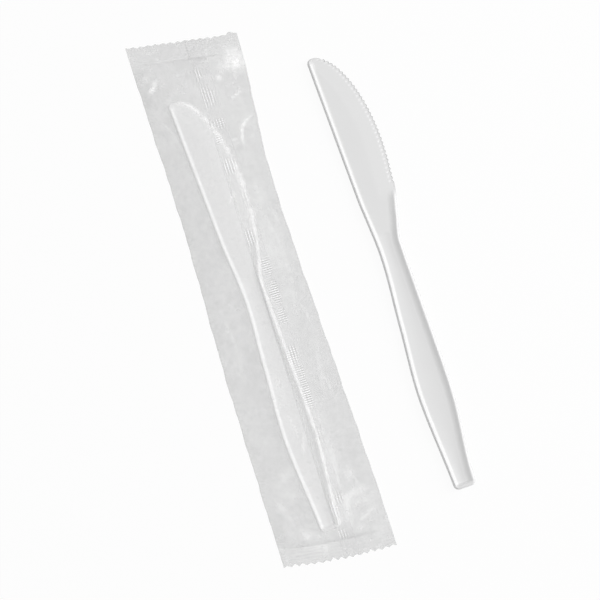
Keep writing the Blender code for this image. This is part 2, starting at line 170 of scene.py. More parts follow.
# Film's soft buckles, the folds that gather at each seal and its crumples, and the uneven side
# folds: rows for waves()
BUCKLES = (
    (0.00007, 0.031, 20.0, 0.3), (0.00005, 0.019, 62.0, 1.9), (0.00003, 0.013, -35.0, 4.0),
    (0.00002, 0.0083, 75.0, 2.2), (0.000014, 0.0061, -60.0, 0.7),
)
FOLDS = ((0.00011, 0.0066, 84.0, 0.5), (0.00007, 0.0041, 97.0, 2.6), (0.00004, 0.0027, 88.0, 1.2))
CRUMPLES = (
    (0.000022, 0.0049, 12.0, 0.2), (0.000020, 0.0041, 130.0, 1.4), (0.000016, 0.0033, 58.0, 3.0),
    (0.000014, 0.0029, -20.0, 5.1), (0.000012, 0.0025, 100.0, 0.9),
)
CRUMPLED_BODY = 0.35
UNEVEN_SIDES = ((0.00010, 0.023, 0.0, 0.4), (0.00007, 0.0111, 0.0, 2.0), (0.00005, 0.0063, 0.0, 1.1))
SIDE_FADE = 0.02
SIDE_SHIFT = 0.009
UNEVEN_TEETH = ((0.25, 0.0131, 0.0, 1.0), (0.2, 0.0067, 0.0, 2.0))
FOLD_SHIFT = 0.003
TOP_GATHER = (0.012, 0.002)
BOTTOM_GATHER = (0.011, 0.0015)

# Painted highlights: how the haze shows where the film passes over the knife's rims, and a painted
# sheen beside them
RIM_HIGHLIGHT_INSET = 0.0007
RIM_HIGHLIGHT_WIDTH = 0.0006
TOOTHED_HIGHLIGHT = 0.0003
SPINE_HIGHLIGHT = 0.04
RIM_HIGHLIGHT_FADE = 0.001
TOOTHED_FADE = 0.004
EVEN_HIGHLIGHT = 0.8
UNEVEN_HIGHLIGHT = ((0.15, 0.0173, 0.0, 0.0), (0.15, 0.0061, 0.0, 1.0))
EVEN_DOTS = 0.85
TOOTH_DOTS = ((0.15, 0.0033, 0.0, 0.0),)
HALO_SHARE = 0.30
HALO_REACH = 0.0034
HALO_START = 0.7 * HEEL_FROM_TIP

# How the haze varies along the sleeve, and how much of it shows at turns and bends of the film
TURN_HAZE = 0.1
MILKY_STATIONS = (0.0, 0.013, 0.028, 0.046, 0.085, 0.140, 0.156, 0.178, 0.192, SLEEVE_LENGTH)
MILKY_SHARES = (1.0, 1.0, 0.83, 0.89, 0.96, 1.0, 0.92, 0.92, 0.82, 0.82)
BEND_WIDTH = 0.0005
BEND_CLEARNESS = 0.21
BEND_FADE = (0.0, 0.009)
BEND_FALL = 0.75
ROOT_BEND_PLACE = 0.00125
ROOT_BEND_WIDTH = 0.0004
RIBS_FADE = 0.006
LOW_RIBS = 0.5

# How many see-through faces a ray may pass, and how bright the next one glows, painted light that
# stands in for the white ground behind it
MOST_FACES = 8
DEEP_FACE_GLOW = 0.95

# Film's skin: sizes of its patches, the noise levels between which they show, and how much
# each adds to its haze
CLOUD_SIZE = 0.011
BREAK_SIZE = 0.0024
BREAK_RANGE = (0.28, 0.66)
MOTTLE_SIZE = 0.0028
MOTTLE_RANGE = (0.50, 0.68)
CRINKLE_SIZE = 0.0013
EVEN_HAZE = 0.50
CLOUD_HAZE = 0.80
BREAK_HAZE = 0.18
FIN_HAZE = 0.35
SEAL_HAZE = 0.10
# Near the seals the mottle is whiter, partly as haze and partly as painted glints
GATHER_HAZE_AND_GLINT = 0.12
MOST_HAZE = 0.9
# Painted shade: tone of the knurl's dark halves
KNURL_PAINTED_SHADE = 0.55
LEAST_KNURL = 0.35
LEAST_CREASE = 0.5
CREASE_BREAKS = 0.75

# Film's skin: levels at which the knurl turns dark with painted shade, those between which
# the knurl and the film on a rim come to glint as painted highlights, how far a crease does,
# how much less a glint is blurred, how much more patches and the back are, and its fine relief
SHADED_KNURL_LEVELS = (0.15, -0.15)
KNURL_GLINT = (0.0, 0.5)
RIM_HIGHLIGHT_GLINT = (0.1, 0.8)
CREASE_GLINT = 0.6
GLINT_POLISH = 0.92
MOTTLE_BLUR = 0.10
BACK_BLUR = 0.40
CRINKLE_RELIEF = 0.45
KNURL_RELIEF = 0.6
RELIEF_DEPTH = 0.00006

# Sleeve, its cut ends
ZIGZAG_INSET = 0.0002
TOP_ZIGZAG = 0.65
BOTTOM_ZIGZAG = 1.15
LEFT_TEETH = 8
RIGHT_TEETH = 7

# Creases of the film over the knife, in millimetres: how high, how wide, how much whiter,
# partly as haze and partly as painted highlight, and the points (s, x) that each runs through
CREASES = (
    (0.042, 0.6, 1.3, ((13.4, -12.7), (16.0, -14.4), (18.0, -16.4))),
    (0.035, 0.4, 0.7, ((12.2, -16.6), (13.6, -17.2), (14.6, -17.9))),
    (0.042, 0.5, 0.6, ((9.0, 12.5), (11.5, 14.0), (15.5, 15.0))),
    (0.035, 0.4, 0.9, ((24.8, 11.6), (24.0, 13.2), (23.2, 14.2), (22.0, 15.9))),
    (0.049, 0.5, 1.0, ((32.6, 17.2), (34.6, 13.9), (37.0, 12.0), (40.6, 11.1), (44.0, 10.8))),
    (0.028, 0.3, 0.5, ((39.4, 4.9), (40.7, 10.1))),
    (0.028, 0.3, 0.4, ((41.2, 5.2), (42.0, 9.6))),
    (0.028, 0.3, 0.4, ((43.0, 5.0), (43.4, 8.4))),
    (0.035, 0.4, 0.8, ((58.9, 2.9), (60.2, 1.2), (61.9, -1.0))),
    (0.035, 0.9, 0.30, ((70.0, 10.0), (80.0, 12.6), (93.0, 13.0), (108.0, 10.3))),
    (0.035, 0.5, 0.7, ((148.3, 0.7), (152.5, -0.6), (156.9, -2.0))),
    (0.028, 0.5, 0.4, ((140.0, -3.5), (146.0, -2.0), (151.0, -1.8))),
    (0.035, 0.6, 0.4, ((158.0, 8.5), (166.0, 7.5), (173.0, 7.0))),
    (0.035, 0.6, 0.4, ((163.2, 11.2), (168.0, 12.6), (173.1, 14.3))),
    (0.042, 1.3, 0.6, ((174.2, 16.7), (174.4, 12.4), (175.4, 8.2), (179.0, 7.2), (185.2, 7.0))),
    (0.035, 1.0, 0.3, ((170.0, -17.0), (176.0, -14.0), (184.0, -12.5))),
    (0.035, 0.7, 0.4, ((181.0, 17.5), (183.5, 13.5), (184.5, 9.5))),
    (0.028, 0.5, 0.3, ((27.0, -16.5), (31.0, -13.0), (38.0, -11.5))),
    (0.028, 0.8, 0.2, ((118.0, 15.5), (128.0, 13.0), (140.0, 12.2))),
    (0.028, 0.8, 0.2, ((98.0, -15.0), (112.0, -13.5), (126.0, -14.5))),
    (0.021, 0.4, 0.3, ((20.0, -12.0), (21.5, -10.2), (24.0, -9.6))),
    (0.021, 0.4, 0.4, ((14.0, 2.0), (15.5, 4.6), (14.8, 6.8))),
    (0.021, 0.5, 0.3, ((66.0, 12.0), (70.0, 14.0), (75.0, 14.6))),
    (0.021, 0.4, 0.3, ((104.0, 13.0), (107.0, 14.5), (112.0, 14.8))),
    (0.021, 0.4, 0.3, ((130.0, 11.5), (133.0, 14.0), (138.0, 15.2))),
)

# Patches of the film made whiter, partly as haze and partly as painted highlight, in
# millimetres: (s, x), half sizes along and across, haze
PATCHES = (
    (9.8, 16.9, 3.8, 3.4, 1.4),
    (12.2, 14.6, 1.8, 4.8, 0.8),
    (8.0, 8.0, 2.0, 7.0, 0.25),
    (12.5, -15.8, 1.2, 1.8, 0.6),
    (16.1, 9.4, 0.8, 1.0, 0.9),
    (14.6, -9.0, 2.2, 3.0, 0.15),
    (24.0, -8.5, 3.0, 2.0, 0.12),
    (62.0, 10.5, 5.0, 2.0, 0.15),
    (88.0, 10.5, 17.0, 3.0, 0.22),
    (133.0, -3.0, 7.0, 1.6, 0.16),
    (160.0, 8.0, 5.0, 1.4, 0.30),
    (169.0, 11.5, 4.0, 1.8, 0.30),
    (178.0, 13.5, 1.6, 3.6, 0.25),
    (163.0, -11.0, 2.6, 3.5, 0.22),
    (169.5, -9.0, 2.0, 1.6, 0.25),
    (186.0, -9.0, 2.0, 3.0, 0.35),
    (191.0, -5.5, 2.4, 3.2, 0.50),
    (187.0, 10.0, 1.6, 2.4, 0.30),
    (190.0, 16.0, 3.0, 2.0, 0.25),
)

# Places on the fin where its knurl catches the light, in millimetres: (s, x), half sizes along
# and across, and how far its long lines and its cross lines show
KNURLED = (
    (14.0, 2.2, 2.2, 1.6, 0.6, 0.1),
    (22.6, 3.2, 3.9, 2.9, 0.8, 0.1),
    (33.2, 4.6, 1.9, 2.2, 0.8, 0.4),
    (38.8, 2.6, 2.4, 1.4, 0.2, 0.8),
    (49.2, 3.6, 2.7, 2.9, 0.9, 0.2),
    (62.0, 5.6, 3.0, 1.9, 0.3, 0.3),
    (75.8, 2.6, 3.0, 2.3, 0.8, 0.2),
    (87.8, 6.0, 3.2, 2.1, 0.1, 1.0),
    (97.7, 6.1, 4.2, 2.1, 0.1, 1.0),
    (106.6, 6.0, 2.6, 2.1, 0.1, 0.7),
    (121.2, 5.2, 3.4, 2.3, 0.8, 0.6),
    (127.7, 6.0, 2.4, 1.9, 0.2, 1.0),
    (135.6, 6.2, 5.2, 1.9, 0.1, 1.0),
    (152.0, 5.8, 3.0, 1.7, 0.2, 0.3),
    (174.7, 5.8, 2.2, 1.6, 0.8, 0.2),
    (178.8, 2.8, 3.0, 1.5, 0.9, 0.1),
    (187.9, 3.1, 1.9, 1.8, 0.8, 0.3),
)

# Small lobe of film at the right corner of the top end
LOBE_PLACE = 0.0182
LOBE_WIDTH = 0.0016
LOBE_LENGTH = 0.0009

# Studio: the light's place to the right of the picture, up it and above the table, its width
# and height, the middle of the picture on the table, and the table
KEY_PLACE = (0.85, 0.25, 0.62)
KEY_SIZE = (0.6, 0.9)
PICTURE_MIDDLE = (-0.00563, -0.00516)
SENSOR_WIDTH = 36.0
FARTHEST_SEEN = 20.0
TABLE_REACH = 3.0
TABLE_DROP = 0.00002
TABLE_ROUGHNESS = 0.9
SKY_RISE = 1.5


def unit(values):
    """Values kept between 0 and 1."""
    return np.clip(values, 0.0, 1.0)


def monotone(stations, values, where):
    """Smooth curve through the points that never swings past them: cubic Hermite spans whose
    slope at a point is the harmonic mean of the two chords there, or nought at a turn."""
    stations, values = np.asarray(stations, float), np.asarray(values, float)
    step = np.diff(stations)
    chord = np.diff(values) / step
    same = chord[:-1] * chord[1:] > 0
    mean = 2 * chord[:-1] * chord[1:] / np.where(same, chord[:-1] + chord[1:], 1.0)
    slope = np.concatenate(([0.0], np.where(same, mean, 0.0), [0.0]))
    span = np.clip(np.searchsorted(stations, where, side="right") - 1, 0, len(step) - 1)
    width = step[span]
    f = unit((where - stations[span]) / width)
    return (
        (1 + 2 * f) * (1 - f) ** 2 * values[span]
        + f * (1 - f) ** 2 * width * slope[span]
        + f * f * (3 - 2 * f) * values[span + 1]
        + f * f * (f - 1) * width * slope[span + 1]
    )


def ease(where, start, end):
    """0 before start, 1 after end, and f * f * (3 - 2 f) between them."""
    f = unit((where - start) / (end - start))
    return f * f * (3 - 2 * f)


def bell(distance, width, power=2):
    """1 at no distance, and less the further off: a Gaussian, or with a higher power a curve
    that is flatter on top and steeper at its sides."""
    return np.exp(-(distance / width) ** power)


def corner_pull(distance, radius):
    """How far a rounded corner draws a side in: radius less the circle's height there."""
    inside = np.clip(radius - distance, 0.0, radius)
    return radius - np.sqrt(radius * radius - inside * inside)


def waves(a, b, rows):
    """Sum of cosines over the plane (a, b). Each row is a height, a wavelength, the direction
    in which it runs in degrees from a, and a phase."""
    total = 0.0
    for height, wavelength, degrees, phase in rows:
        turn = math.radians(degrees)
        along = a * math.cos(turn) + b * math.sin(turn)
        total = total + height * np.cos(2 * math.pi * along / wavelength + phase)
    return total


def loop_faces(rows, columns):
    """Faces between rows of points, each row a closed loop, and the points' own numbers."""
    index = np.arange(rows * columns).reshape(rows, columns)
    loop = np.concatenate((index, index[:, :1]), axis=1)
    quads = np.stack((loop[:-1, :-1], loop[:-1, 1:], loop[1:, 1:], loop[1:, :-1]), axis=-1)
    return quads.reshape(-1, 4), index


def mesh_object(name, vertices, quads, material, attributes=None):
    """Smooth-shaded object from arrays of vertices and four-sided faces. attributes holds one
    array of numbers, one to a vertex, for each name."""
    mesh = bpy.data.meshes.new(name)
    mesh.vertices.add(len(vertices))
    mesh.vertices.foreach_set("co", np.ascontiguousarray(vertices, np.float32).ravel())
    mesh.loops.add(quads.size)
    mesh.loops.foreach_set("vertex_index", np.ascontiguousarray(quads, np.int32).ravel())
    mesh.polygons.add(len(quads))
    mesh.polygons.foreach_set("loop_start", np.arange(0, quads.size, 4, dtype=np.int32))
    for key, values in (attributes or {}).items():
        layer = mesh.attributes.new(key, "FLOAT", "POINT")
        layer.data.foreach_set("value", np.ascontiguousarray(values, np.float32).ravel())
    mesh.update(calc_edges=True)
    mesh.validate()
    mesh.shade_smooth()
    mesh.materials.append(material)
    piece = bpy.data.objects.new(name, mesh)
    bpy.context.scene.collection.objects.link(piece)
    return piece


class Socket:
    """A node's output. Arithmetic on it adds Math nodes to its tree."""

    def __init__(self, tree, output):
        self.tree = tree
        self.output = output

    def math(self, operation, *values):
        """Math node of this operation on the values given."""
        inputs = dict(enumerate(values))
        return self.tree.add("Math", {"operation": operation}, inputs)

    def __add__(self, other):
        return self.math("ADD", self, other)

    __radd__ = __add__

    def __mul__(self, other):
        return self.math("MULTIPLY", self, other)

    __rmul__ = __mul__

    def __sub__(self, other):
        return self.math("SUBTRACT", self, other)

    def __rsub__(self, other):
        return self.math("SUBTRACT", other, self)

    def sine(self):
        return self.math("SINE", self)

    def absolute(self):
        return self.math("ABSOLUTE", self)

    def at_least(self, other):
        return self.math("MAXIMUM", self, other)

    def at_most(self, other):
        return self.math("MINIMUM", self, other)

    def within(self, low, high):
        """0 below low, 1 above high, with a smooth ramp between them."""
        inputs = {"Value": self, "From Min": low, "From Max": high}
        return self.tree.add("MapRange", {"interpolation_type": "SMOOTHSTEP"}, inputs)


class Shade:
    """The node tree of a material or a world, built by adding nodes to it one by one."""

    def __init__(self, owner):
        self.owner = owner
        self.owner.use_nodes = True
        self.tree = self.owner.node_tree
        self.tree.nodes.clear()

    def add(self, kind, settings=None, inputs=None, output=0):
        """Shader node of this kind with its settings and the values or links of its inputs."""
        node = self.tree.nodes.new("ShaderNode" + kind)
        for key, value in (settings or {}).items():
            setattr(node, key, value)
        for key, value in (inputs or {}).items():
            if isinstance(value, Socket):
                self.tree.links.new(value.output, node.inputs[key])
            else:
                node.inputs[key].default_value = value
        return Socket(self, node.outputs[output])

    def place(self):
        """Object coordinates."""
        return self.add("TexCoord", output="Object")

    def split(self, vector):
        """First two parts of a vector."""
        first = self.add("SeparateXYZ", None, {0: vector})
        return first, Socket(self, first.output.node.outputs[1])

    def noise(self, size, detail=2.0):
        """Cloudy noise from 0 to 1 whose patches are about this many metres across."""
        inputs = {"Vector": self.place(), "Scale": 1.0 / size, "Detail": detail}
        return self.add("TexNoise", None, inputs)

    def attribute(self, name):
        """The piece's own number of this name at each point."""
        return self.add("Attribute", {"attribute_name": name}, output="Fac")

    def blend(self, part, first, second):
        """Colour between first and second, with this part of the second."""
        return self.add("Mix", {"data_type": "RGBA"}, {0: part, 6: first, 7: second}, output=2)

    def finish(self, surface, kind="OutputMaterial"):
        """The material or world, with this shader as its surface."""
        node = self.tree.nodes.new("ShaderNode" + kind)
        self.tree.links.new(surface.output, node.inputs["Surface"])
        return self.owner


def grey(level):
    """Neutral colour of this level."""
    return (level, level, level, 1.0)


def white_plastic_material(knife):
    """Moulded white plastic: even colour with faint cloudiness, painted shade that darkens the
    teeth's tips, and a fine satin skin."""
    shade = Shade(bpy.data.materials.new("white_plastic"))
    cloud = shade.noise(PLASTIC_CLOUD_SIZE, 3.0)
    skin = shade.noise(SKIN_SIZE)
    flow = shade.noise(FLOW_SIZE)
    clouded, plain, painted_tip_shade = (
        (*[part * c for c in knife.colour], 1.0) for part in (CLOUD_SHADE, 1.0, PAINTED_TIP_SHADE_LEVEL))
    # Painted shade: the colour is darkened on the teeth's tips
    colour = shade.blend(shade.attribute("painted_tip_shade"), shade.blend(cloud, clouded, plain), painted_tip_shade)
    normal = shade.add("Bump", None, {
        "Strength": 0.12, "Distance": SKIN_DEPTH, "Height": skin + 0.8 * flow})
    surface = shade.add("BsdfPrincipled", None, {
        "Base Color": colour,
        "Roughness": knife.roughness - 0.05 + 0.12 * flow,
        "IOR": 1.5,
        "Normal": normal,
    })
    return shade.finish(surface)


def clear_film_material(film):
    """Clear packing film: see-through and glossy, whiter in its creases partly as haze and partly
    as painted highlight, with painted highlights over the knife's rims and painted shade in the
    ply on the table.

    The knurl on the fin is a grid of fine lines along and across it, two sine waves, of which
    each shows where the piece's own numbers say that it catches the light: the dark half of
    each line is painted shade, and the bright half a painted highlight. A ray may pass eight
    see-through faces, and where it meets a ninth, that one glows near white as painted light.
    """
    shade = Shade(bpy.data.materials.new("clear_film"))
    back = shade.attribute("back")
    fin = shade.attribute("fin")
    plain = 1.0 - fin
    broken = shade.noise(BREAK_SIZE, 4.0).within(*BREAK_RANGE)
    across, along = shade.split(shade.place())
    turn = 2 * math.pi / film.knurl_pitch
    long_waves = (across * (turn / KNURL_STRETCH)).sine() * shade.attribute("long_lines")
    cross_waves = (along * turn).sine() * shade.attribute("cross_lines")
    knurl = (long_waves + cross_waves) * (LEAST_KNURL + (1.0 - LEAST_KNURL) * broken)
    cloud = shade.noise(CLOUD_SIZE, 3.0)
    mottle = shade.noise(MOTTLE_SIZE, 3.0).within(*MOTTLE_RANGE)
    crinkle = shade.noise(CRINKLE_SIZE, 3.0)
    # Creases whiter, partly as haze and partly as painted highlight
    crease_haze_and_highlight = shade.attribute("crease_haze_and_highlight") * (LEAST_CREASE + CREASE_BREAKS * broken)
    # Painted highlights over the knife's rims, and a painted sheen beside the handle
    rim_highlight = shade.attribute("rim_highlight")
    clouded = plain * (EVEN_HAZE + CLOUD_HAZE * cloud + BREAK_HAZE * broken) + FIN_HAZE * fin
    haze = (
        film.haze * shade.attribute("milky") * clouded
        # Painted shade: extra haze of the back ply, whose dark tone darkens the table seen through
        # the sleeve
        + back * film.back_shade_haze
        + plain * (film.crease_haze_and_highlight_amount * crease_haze_and_highlight)
        + film.rim_highlight_haze * rim_highlight
        + plain * (SEAL_HAZE * shade.attribute("seal"))
        # Whiter mottle near the seals: partly haze, partly painted glints
        + plain * (shade.attribute("gather") * (mottle * (GATHER_HAZE_AND_GLINT * (1.0 - back))))
        + film.knurl_haze * knurl.absolute()
    )
    # Painted shade: the back ply's haze has a dark tone, so that the table under the sleeve reads as
    # shaded
    tone = shade.blend(back, grey(film.top_tone), grey(film.back_shade_tone))
    # Painted shade on the dark halves of the knurl's lines
    tone = shade.blend(fin * knurl.within(*SHADED_KNURL_LEVELS), tone, grey(KNURL_PAINTED_SHADE))
    # Painted highlights: where the knurl, the rims and the creases glint, the film is made
    # mirror-like and shows the white world
    glint = (fin * knurl.within(*KNURL_GLINT)).at_least(rim_highlight.within(*RIM_HIGHLIGHT_GLINT))
    glint = glint.at_least(CREASE_GLINT * crease_haze_and_highlight).at_most(1.0)
    blur = film.roughness + MOTTLE_BLUR * mottle + BACK_BLUR * back
    # Painted light: the face a ray meets past the eighth glows near white
    passed = shade.add("LightPath", output="Transparent Depth")
    deep = passed.within(MOST_FACES - 0.6, MOST_FACES - 0.4)
    facing = shade.add("NewGeometry", output="Normal")
    upward = shade.add("VectorMath", None, {0: facing, 1: (0.0, 0.0, film.evenness)})
    even = shade.add("VectorMath", {"operation": "NORMALIZE"}, {0: upward})
    normal = shade.add("Bump", None, {
        "Strength": 0.5, "Distance": RELIEF_DEPTH,
        "Height": crinkle * CRINKLE_RELIEF + knurl * KNURL_RELIEF, "Normal": even})
    surface = shade.add("BsdfPrincipled", None, {
        "Base Color": tone,
        "Metallic": glint,
        "Roughness": blur * (1.0 - GLINT_POLISH * glint),
        "IOR": film.gloss,
        "Alpha": (haze * shade.attribute("haze_share")).at_most(MOST_HAZE).at_least(deep),
        "Emission Color": shade.blend(deep, grey(0.0), grey(DEEP_FACE_GLOW)),
        "Emission Strength": 1.0,
        "Normal": normal,
    })
    return shade.finish(surface)


def spine_side(s):
    """Distance of the knife's spine from its axis, less its rounded corners."""
    middle = 0.5 * (NECK_FROM_TIP + SWELL_FROM_TIP)
    stations = (0.0, HEEL_FROM_TIP, NECK_FROM_TIP, middle, SWELL_FROM_TIP, KNIFE_LENGTH)
    side = monotone(stations, SPINE_SIDE, s)
    return side - corner_pull(s, TIP_RADIUS) - corner_pull(KNIFE_LENGTH - s, BUTT_RADIUS)


def edge_side(s):
    """Distance of the cutting side from the axis: a quarter ellipse, then a smooth curve."""
    nose_x = unit(1 - s / BELLY_FROM_TIP)
    nose = EDGE_SIDE[0] * np.sqrt(1 - nose_x * nose_x)
    throat = 0.5 * (HEEL_FROM_TIP + NECK_FROM_TIP)
    stations = (BELLY_FROM_TIP, HEEL_FROM_TIP, throat, NECK_FROM_TIP,
                GRIP_FROM_TIP, SWELL_FROM_TIP, KNIFE_LENGTH)
    side = np.where(s < BELLY_FROM_TIP, nose, monotone(stations, EDGE_SIDE, s))
    return side - corner_pull(KNIFE_LENGTH - s, BUTT_RADIUS)


def edge_travel(s):
    """Distance run along the cutting edge from the first tooth to each s."""
    fine = np.linspace(0.0, KNIFE_LENGTH, FINE_STEPS)
    side = edge_side(fine)
    run = np.concatenate(([0.0], np.cumsum(np.hypot(np.diff(fine), np.diff(side)))))
    return np.interp(s, fine, run) - np.interp(FIRST_TOOTH, fine, run)


def knife_stations(pitch):
    """Lengths at which the knife's sections lie: close at both ends, twelve to a tooth, and
    wider apart on the handle."""
    fine = np.linspace(FIRST_TOOTH, HEEL_FROM_TIP, FINE_STEPS)
    travel = edge_travel(fine)
    toothed = np.interp(np.arange(0.0, travel[-1], pitch / TOOTH_SECTIONS), travel, fine)
    groups = (
        FIRST_TOOTH * (1 - np.cos(np.linspace(0, math.pi / 2, 20)[:-1])),
        toothed,
        np.linspace(HEEL_FROM_TIP, NECK_FROM_TIP, 60),
        np.linspace(NECK_FROM_TIP, KNIFE_LENGTH - BUTT_LENGTH, 130),
        np.linspace(KNIFE_LENGTH - BUTT_LENGTH, KNIFE_LENGTH, 34),
    )
    return np.unique(np.round(np.concatenate(groups), 7))


def rim_columns(rim, counts):
    """Distances inward of a rim's columns: close together at the foot of its outer ellipse,
    then even over its crest and its inner slope."""
    outer, crest, inner = rim
    quarter = np.linspace(0.0, math.pi / 2, counts[0])
    return np.concatenate((
        outer * (1 - np.cos(quarter)),
        outer + crest * np.linspace(0.0, 1.0, counts[1])[1:],
        outer + crest + inner * np.linspace(0.0, 1.0, counts[2])[1:],
    ))


def rim_height(inward, rim, high, foot):
    """Half thickness of a rim at this distance inward: an ellipse up its outer side to the
    crest, then a straight fall that flattens out evenly into the foot."""
    outer, crest, inner = rim
    rise = unit(1 - inward / outer)
    way = unit((inward - outer - crest) / inner)
    curved = np.maximum(way - STEEP_SHARE, 0.0)
    fall = (way - 0.5 * curved * curved / (1 - STEEP_SHARE)) * 2 / (1 + STEEP_SHARE)
    return (high + fall * (foot - high)) * np.sqrt(1 - rise * rise)


def tooth_depth(s, pitch):
    """Share of a tooth's depth cut away at s: a triangle wave along the cutting edge."""
    travel = edge_travel(s)
    last = np.floor(edge_travel(np.array(HEEL_FROM_TIP)) / pitch) * pitch
    phase = np.abs(np.mod(travel / pitch, 1.0) - 0.5) * pitch
    notch = unit(1 - phase / (0.5 * (pitch - TOOTH_LAND)))
    return np.where((travel >= 0) & (travel <= last), notch, 0.0)


def with_rims(web, spine_rim, edge_rim, high):
    """Half thickness of the knife where both rims rise to high from this web."""
    spines, edges = len(spine_rim), len(edge_rim)
    z = web.copy()
    z[:, :spines] = rim_height(spine_rim, SPINE_RIM, high, web[:, :spines])
    z[:, -edges:] = rim_height(edge_rim[::-1], EDGE_RIM, high, web[:, -edges:])
    return z


def web_level(s, x, left, right):
    """Half thickness of the web: even on the blade, and thinner and slightly dished on the
    handle, which begins at a slanting step."""
    beside = x - WEB_STEP_FROM_AXIS
    step = WEB_STEP_FROM_TIP + WEB_STEP_SLANT * beside
    softer = 1 - ease(beside, -WEB_STEP_FADE, 0.0)
    stepped = ease(s, step, step + WEB_STEP_LENGTH + WEB_STEP_FADE * softer)
    span = unit((x - left) / (right - left))
    dish = WEB_DISH * (2 * span - 1) ** 2
    return 0.5 * (BLADE_WEB + stepped * (HANDLE_WEB - BLADE_WEB)) + stepped * dish


def bevel_height(inward, level):
    """Half thickness of the blade beside its cutting edge: a rounded bevel, and then a long
    ground face up to the web's level."""
    bevel = 0.5 * CUTTING_EDGE
    bevel = bevel + (BEVEL_HEIGHT - bevel) * unit(inward / BEVEL_WIDTH)
    rounding = unit(1 - inward / (BEVEL_ROUNDING * BEVEL_WIDTH))
    bevel = np.minimum(bevel, level) * np.sqrt(1 - BEVEL_DROP * rounding * rounding)
    ground = unit((inward - BEVEL_WIDTH) / (GRIND_WIDTH - BEVEL_WIDTH))
    return bevel + ground * (level - bevel)


def end_taper(s):
    """Share of the thickness that is left where the butt and the tip are rounded."""
    near_butt = unit(1 - (KNIFE_LENGTH - s) / SPINE_RIM[0])
    near_tip = unit(1 - s / (0.5 * TIP_RADIUS))
    land = END_LAND / HANDLE_THICKNESS
    at_butt = land + (1 - land) * np.sqrt(1 - near_butt * near_butt)
    return at_butt * (TIP_SHARE + (1 - TIP_SHARE) * np.sqrt(1 - near_tip * near_tip))


def whole_section(upper, sign):
    """Values all round each section from those over its top, with this sign below."""
    return np.concatenate((upper, sign * upper[:, -2:0:-1]), axis=1)


def knife_grid(knife):
    """Surface of the knife, rows by columns of points, about its own middle.

    Each row is a closed section: over the top from the spine to the cutting side, and back
    below as its mirror image. The teeth draw the cutting side in along its own normal, by
    less the further in a point lies, and leave a short groove on the blade. Also returned is
    the painted shade at each point, which darkens the teeth's tips: 1 on them, 0 away from the edge.
    """
    s = knife_stations(knife.tooth_pitch)[:, None]
    spine = -spine_side(s)
    edge = np.maximum(edge_side(s), spine + END_LAND)
    spine_rim = rim_columns(SPINE_RIM, SPINE_COLUMNS)
    edge_rim = rim_columns(EDGE_RIM, EDGE_COLUMNS)
    inset = np.minimum(1.0, (edge - spine) / (sum(SPINE_RIM) + sum(EDGE_RIM) + END_LAND))
    left = spine + inset * spine_rim
    right = edge - inset * edge_rim[::-1]
    web = np.linspace(0.0, 1.0, WEB_COLUMNS + 2)[1:-1]
    middle = left[:, -1:] + web * (right[:, :1] - left[:, -1:])
    x = np.concatenate((left, middle, right), axis=1)
    inward = edge - x

    grow = ease(s, HEEL_FROM_TIP, NECK_FROM_TIP)
    tip = ease(s, 0.0, TIP_RADIUS)
    high = BLADE_SPINE_THICKNESS + grow * (HANDLE_THICKNESS - BLADE_SPINE_THICKNESS)
    high = 0.5 * (tip * high + (1 - tip) * TIP_THICKNESS)
    level = np.minimum(web_level(s, x, left[:, -1:], right[:, :1]), high)
    rim_rise = HEEL_FROM_TIP + knife.tooth_pitch
    rimmed = ease(s, rim_rise, rim_rise + RIM_FADE)
    beyond = slice(len(spine_rim), None)
    bevel = bevel_height(inward, level)
    z = with_rims(level, spine_rim, edge_rim, high)
    z[:, beyond] = rimmed * z[:, beyond] + (1 - rimmed) * bevel[:, beyond]
    full = with_rims(np.tile(high, (1, x.shape[1])), spine_rim, edge_rim, high)
    butt = ease(s, KNIFE_LENGTH - sum(SPINE_RIM), KNIFE_LENGTH - SPINE_RIM[0] - SPINE_RIM[1])
    z = (z + butt * (full - z)) * end_taper(s)
    z[:, 0] = 0.0
    z[:, -1] = 0.0

    notch = tooth_depth(s, knife.tooth_pitch)
    slope = np.gradient(edge_side(s[:, 0]), s[:, 0])[:, None]
    normal_x = 1 / np.sqrt(1 + slope * slope)
    pull = knife.tooth_depth * notch * unit(1 - inward / NOTCH_REACH) ** NOTCH_POWER
    along = s + pull * slope * normal_x
    groove = GROOVE_DEPTH * notch * (1 - ease(inward, *GROOVE_FADE))
    z = z - groove * ease(inward, 0.0, GROOVE_ONSET) * (1 - rimmed)
    # Painted shade on the teeth's tips, fading within a narrow band from the toothed edge
    painted_tip_shade = (1 - rimmed) * np.exp(-inward / PAINTED_TIP_SHADE_WIDTH) * tip
    points = np.stack((
        whole_section(x - pull * normal_x, 1),
        whole_section(0.5 * KNIFE_LENGTH - along, 1),
        whole_section(z, -1),
    ), axis=2)
    return points, whole_section(painted_tip_shade, 1)


def knife_piece(name, knife, place, turn, material):
    """One knife: the grid turned about Z and moved to its place, with both ends closed by a
    strip of faces between the upper and the lower half."""
    points, painted_tip_shade = knife_grid(knife)
    cos, sin = math.cos(turn), math.sin(turn)
    moved = np.stack((
        points[..., 0] * cos - points[..., 1] * sin + place[0],
        points[..., 0] * sin + points[..., 1] * cos + place[1],
        points[..., 2] + place[2],
    ), axis=2)
    columns = moved.shape[1]
    sides, index = loop_faces(*moved.shape[:2])
    half = columns // 2
    upper = np.arange(half + 1)
    lower = np.concatenate(([0], np.arange(columns - 1, half - 1, -1)))
    strip = np.stack((upper[:-1], lower[:-1], lower[1:], upper[1:]), axis=-1)
    quads = np.concatenate((sides, index[0][strip], index[-1][strip[:, ::-1]]))
    return mesh_object(name, moved.reshape(-1, 3), quads, material, {"painted_tip_shade": painted_tip_shade})


